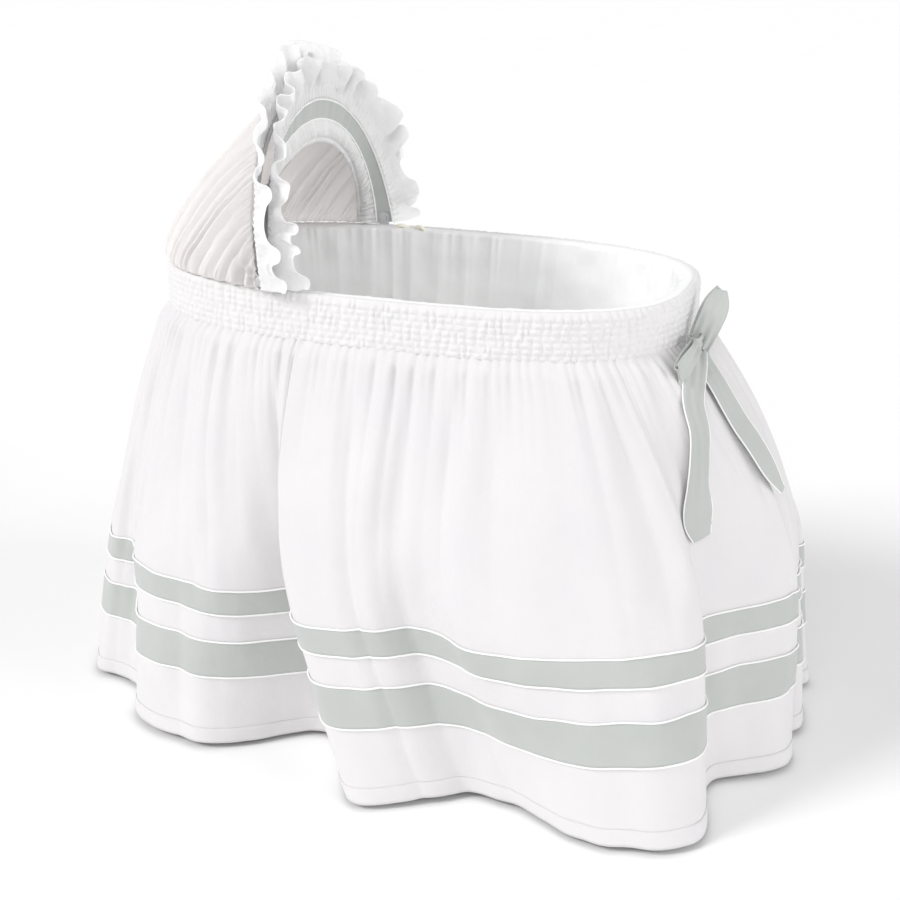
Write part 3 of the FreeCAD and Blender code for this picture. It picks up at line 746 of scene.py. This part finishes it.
# ---- bows -----------------------------------------------------------------------------
knot_low, knot_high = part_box("bow_knot")
BOW = np.array((knot_low + knot_high) / 2)
OUT = np.array([0.98, -0.199, 0.0])           # outward from the rim at the bow
ALONG = np.array([0.199, 0.98, 0.0])          # along the rim, towards the foot end's middle
UP = np.array([0.0, 0.0, 1.0])
STRIP_STEPS, STRIP_COLS = 90, 17
CURL = 3.0                                    # depth of a pinched ribbon's folds, in millimetres


def bow_point(along, out, up):
    """Place given in millimetres from the knot, in the bow's own directions."""
    return BOW + ALONG * along * MM + OUT * out * MM + UP * up * MM


def smooth_line(points, count):
    """Open smooth line through given rows of numbers."""
    p = np.array(points, float)
    p = np.vstack([2 * p[0] - p[1], p, 2 * p[-1] - p[-2]])
    t = np.linspace(0, len(p) - 3 - 1e-6, count)
    i = t.astype(int)
    return spline(p[i], p[i + 1], p[i + 2], p[i + 3], (t - i)[:, None])


def ribbon_strip(name, stations, across_hint, edged=False):
    """Ribbon along stations of (along, out, up, half width, pinch) in the bow's frame.

    across_hint says which way its width lies at each station; edged adds a white trim.
    """
    line = smooth_line(stations, STRIP_STEPS)
    centre = np.array([bow_point(*row[:3]) for row in line])
    half = line[:, 3] * MM
    pinch = line[:, 4]
    ahead = np.gradient(centre, axis=0)
    ahead /= np.linalg.norm(ahead, axis=1, keepdims=True)
    hint = smooth_line(across_hint, STRIP_STEPS)
    hint = hint[:, :1] * ALONG + hint[:, 1:2] * OUT + hint[:, 2:3] * UP
    side = hint - ahead * (hint * ahead).sum(1, keepdims=True)
    side /= np.linalg.norm(side, axis=1, keepdims=True)
    face = np.cross(ahead, side)
    u = np.linspace(-1, 1, STRIP_COLS)
    folds = np.cos(u * math.pi * 2.5)
    points = (centre[:, None] + side[:, None] * (half[:, None] * u)[:, :, None]
              + face[:, None] * (pinch[:, None] * CURL * MM * folds)[:, :, None]
              + face[:, None] * ((1 - u ** 2) * CURL * 0.5 * MM)[None, :, None])
    obj = paint(cloth_grid(name, points, closed=False, thick=0.9 * MM), CLOTHS["grey"])
    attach(obj, "basket")
    if edged:
        trim = tube_along(name + "_edge", [points[:, 0], points[:, -1]], 1.1 * MM, closed=False)
        paint(trim, CLOTHS["piping"])
        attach(trim, "basket")
    return obj


def build_bow():
    """The bow's two loops and its two edged tails."""
    upper = ribbon_strip(
        "bow_loop_upper",
        [(2, 10, -4, 14, 1), (22, 13, 20, 17, .5), (48, 15, 46, 17, .1), (68, 12, 64, 8, 0),
         (54, 8, 46, 15, 0), (28, 6, 18, 16, .3), (4, 6, -4, 14, 1)],
        [(0.3, 0.8, -0.4)] * 7)
    ribbon_strip(
        "bow_loop_lower",
        [(-2, 12, 2, 14, 1), (-22, 17, -6, 18, .6), (-48, 17, -17, 21, .2), (-70, 13, -26, 19, 0),
         (-50, 11, -16, 20, 0), (-22, 9, -6, 17, .4), (-2, 6, 0, 14, 1)],
        [(-0.34, -0.2, 0.9)] * 7)
    ribbon_strip(
        "bow_tail_long",
        [(0, 8, -4, 16, 1), (-30, 20, -24, 18, .5), (-60, 32, -58, 18, .3),
         (-66, 46, -96, 17, .3), (-70, 51, -136, 18, .2), (-73, 53, -174, 21, .15),
         (-78, 57, -213, 26, .05), (-71, 62, -247, 16, 0)],
        [(0.9, 0.43, -0.05)] * 8, edged=True)
    ribbon_strip(
        "bow_tail_short",
        [(2, 8, -4, 16, 1), (0, 22, -24, 17, .6), (-1, 43, -50, 18, .4), (14, 70, -100, 19, .15),
         (28, 90, -134, 19, .1), (44, 109, -172, 17, .1), (67, 124, -211, 7, .05)],
        [(1, 0.1, 0.2)] * 7, edged=True)
    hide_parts("bow_loops")


def build_bow_knot():
    """Ribbon wrapped round the bow's middle, a little wider at its two ends."""
    knot_out, rings = 5, 13
    turn = np.linspace(0, 2 * math.pi, 40, endpoint=False)
    rows = []
    for k in range(rings):
        u = -1 + 2 * k / (rings - 1)
        wide = 12 + 2.2 * u ** 2
        deep = 9 + 1.2 * math.cos(3 * math.pi * u)
        rows.append([bow_point(wide * math.cos(t), knot_out + deep * math.sin(t),
                               14 * u + 1.5 * math.sin(2 * t)) for t in turn])
    knot = paint(cloth_grid("bow_knot_cloth", np.array(rows), thick=1.2 * MM), CLOTHS["grey"])
    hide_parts("bow_knot", "bow_tails")
    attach(knot, "basket")


# Tie bows at the feet of the hood: side, and millimetres in from the rim and down from its top.
TIE_BOWS = {"near": (-1, 26, 20), "far": (1, 23, 9)}


def build_tie_bows():
    """Small cream bows tied on the rim at the feet of the hood."""
    low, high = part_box("tie_bows")
    place_x = (low.x + high.x) / 2
    t = np.linspace(0, 2 * math.pi, 40, endpoint=False)
    fall = np.linspace(0, 1, 14)[:, None]
    for name, (side, inward, down) in TIE_BOWS.items():
        centre = np.array([place_x - 12 * MM, side * (RIM_B - inward * MM), RIM_Z - down * MM])
        loops, tails = [], []
        for lean in (-1, 1):
            loop = np.stack([lean * (9 - 9 * np.cos(t)), side * 2.5 * np.sin(2 * t) + side * 1,
                             6 * np.sin(t) * (1 - 0.3 * np.cos(t)) + 2 * (1 - np.cos(t))], -1)
            loops.append(centre + 1.3 * loop * MM)
            tails.append(centre + np.hstack([lean * 12 * fall, side * (1 - 2 * fall),
                                             -20 * fall - 2]) * MM)
        bow = paint(tube_along("tie_bow_loops_" + name, loops, 3.2 * MM), CLOTHS["cream"])
        tail = paint(tube_along("tie_bow_tails_" + name, tails, 2.4 * MM, closed=False),
                     CLOTHS["cream"])
        bpy.ops.mesh.primitive_uv_sphere_add(segments=20, ring_count=12, radius=4.2 * MM,
                                             location=centre + np.array([0, side * 1.5, 0]) * MM)
        knot = bpy.context.object
        knot.name = "tie_bow_knot_" + name
        knot.data.shade_smooth()
        paint(knot, CLOTHS["cream"])
        for piece in (bow, tail, knot):
            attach(piece, "basket")
        if name == "near":
            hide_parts("tie_bows")


# ---- mattress -------------------------------------------------------------------------
PAD_N = 2.6                    # superellipse exponent of the pad
QUILT = 0.055                  # half the diagonal of a quilted diamond


def build_mattress():
    """Quilted pad with a crowned top and piping round its edge."""
    cols, rings = 240, 60
    turn = 2 * math.pi * np.arange(cols) / cols
    a, b = mattress_high.x - 2 * MM, mattress_high.y - 2 * MM
    low, high = mattress_low.z + 0.5 * MM, mattress_high.z
    middle, half = (low + high) / 2, (high - low) / 2
    points = []
    for k in range(rings):
        t = math.pi * k / (rings - 1)
        spread = min(1.0, math.sin(t) ** 0.35) if 0 < k < rings - 1 else 0.002
        flat, _ = oval(turn, a * spread, b * spread, PAD_N)
        crown = math.copysign(abs(math.cos(t)) ** 0.5, math.cos(t))
        z = np.full(cols, middle + half * crown)
        if k < rings // 2:
            along, across = (flat / QUILT * math.pi / 2).T
            quilt = np.abs(np.sin(along + across) * np.sin(along - across))
            z = z - 3.0 * MM * (1 - quilt ** 0.35) * smooth(1 - spread, 0.02, 0.1)
        points.append(np.concatenate([flat, z[:, None]], 1))
    pad = paint(cloth_grid("mattress_pad", np.array(points), thick=0), CLOTHS["ticking"])
    edge, _ = oval(turn, a + 0.5 * MM, b + 0.5 * MM, PAD_N)
    loops = [np.concatenate([edge, np.full((cols, 1), middle + dz)], 1)
             for dz in (-half * 0.72, half * 0.72)]
    piping = paint(tube_along("mattress_piping", loops, 1.8 * MM), CLOTHS["piping"])
    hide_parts("mattress")
    for piece in (pad, piping):
        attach(piece, "basket")


# ---- CAD nodes ------------------------------------------------------------------------
def paint_frame():
    enamel = hard("white_enamel", (0.86, 0.86, 0.85), (0.80, 0.80, 0.79), 0.32, coat=0.3)
    zinc = hard("bright_zinc", (0.66, 0.67, 0.69), (0.52, 0.53, 0.55), 0.33, metallic=1.0)
    nylon = hard("white_nylon", (0.82, 0.82, 0.80), (0.76, 0.76, 0.74), 0.5, grain=120)
    looks = {
        "basket_weave": hard("moulded_basket", (0.80, 0.78, 0.73), (0.70, 0.67, 0.61), 0.6,
                             grain=70, bump=0.5, stretch=(1, 1, 3)),
        "board": hard("hardboard", (0.48, 0.32, 0.19), (0.36, 0.23, 0.13), 0.7, grain=200),
        "rail_wood": hard("beech", (0.66, 0.48, 0.30), (0.52, 0.35, 0.20), 0.45, grain=60,
                          stretch=(0.08, 1, 1), coat=0.25),
        "wire_enamel": enamel,
        "leg_enamel": enamel,
        "zinc_steel": zinc,
        "nylon": nylon,
        "lever_plastic": hard("grey_lever", (0.20, 0.21, 0.22), (0.15, 0.16, 0.17), 0.5),
        "hub_plastic": hard("hub_plastic", (0.78, 0.78, 0.77), (0.72, 0.72, 0.71), 0.3, coat=0.2),
        "tyre_rubber": hard("tyre_rubber", (0.055, 0.055, 0.06), (0.035, 0.035, 0.04), 0.7,
                            grain=90, bump=0.3),
    }
    for part in frame["record"]["subparts"]:
        if part["material_slot"] in looks:
            paint(frame["nodes"][part["node"]], looks[part["material_slot"]])


# ---- stage ----------------------------------------------------------------------------
CAMERA_AZIMUTH, CAMERA_ELEVATION = math.radians(20.54), math.radians(21.01)
CAMERA_DISTANCE = 2.2547
CAMERA_TARGET = Vector((0, 0, 0.4))
SKY_LIGHT = 0.56                # brightness of the studio's white walls, as the object sees them


def look_along(obj, direction):
    obj.rotation_mode = "QUATERNION"
    obj.rotation_quaternion = direction.to_track_quat("-Z", "Y")


def build_camera():
    data = bpy.data.cameras.new("camera")
    data.sensor_width, data.lens = 36.0, 58.28
    data.shift_x, data.shift_y = 0.0239, -0.0053
    camera = bpy.data.objects.new("camera", data)
    a, e = CAMERA_AZIMUTH, CAMERA_ELEVATION
    back = Vector((math.sin(a) * math.cos(e), -math.cos(a) * math.cos(e), math.sin(e)))
    camera.location = CAMERA_TARGET + back * CAMERA_DISTANCE
    look_along(camera, -back)
    bpy.context.scene.collection.objects.link(camera)
    bpy.context.scene.camera = camera


def soft_sun(name, towards, strength, spread_deg):
    """Distant soft lamp that shines along a direction, the same all over the floor."""
    data = bpy.data.lights.new(name, "SUN")
    data.energy, data.angle = strength, math.radians(spread_deg)
    light = bpy.data.objects.new(name, data)
    look_along(light, Vector(towards))
    bpy.context.scene.collection.objects.link(light)


def build_stage():
    world = bpy.data.worlds.new("studio")
    world.use_nodes = True
    tree = world.node_tree
    path = tree.nodes.new("ShaderNodeLightPath")
    level = tree.nodes.new("ShaderNodeMapRange")
    level.inputs["To Min"].default_value = SKY_LIGHT
    level.inputs["To Max"].default_value = 1.0
    tree.links.new(path.outputs["Is Camera Ray"], level.inputs["Value"])
    background = tree.nodes["Background"]
    background.inputs["Color"].default_value = (1, 1, 1, 1)
    tree.links.new(level.outputs["Result"], background.inputs["Strength"])
    bpy.context.scene.world = world
    bpy.context.scene.view_settings.view_transform = "Standard"
    bpy.ops.mesh.primitive_plane_add(size=60, location=(0, 0, 0))
    floor = bpy.context.object
    floor.name = "floor"
    paint(floor, hard("pale_floor", (0.95, 0.95, 0.95), (0.93, 0.93, 0.93), 0.8, grain=3,
                      bump=0.02))
    soft_sun("key", (0.85, 0.65, -0.80), 1.62, 20)
    soft_sun("front", (-0.15, 0.85, -0.50), 0.70, 40)
    soft_sun("side", (-1.00, 0.05, -0.35), 1.05, 40)


build_camera()
build_stage()
paint_frame()
build_skirt()
build_band()
build_liner()
build_mattress()
build_hood_cover()
build_hood_ribbon()
build_valance()
build_ruffle()
build_bow()
build_bow_knot()
build_tie_bows()
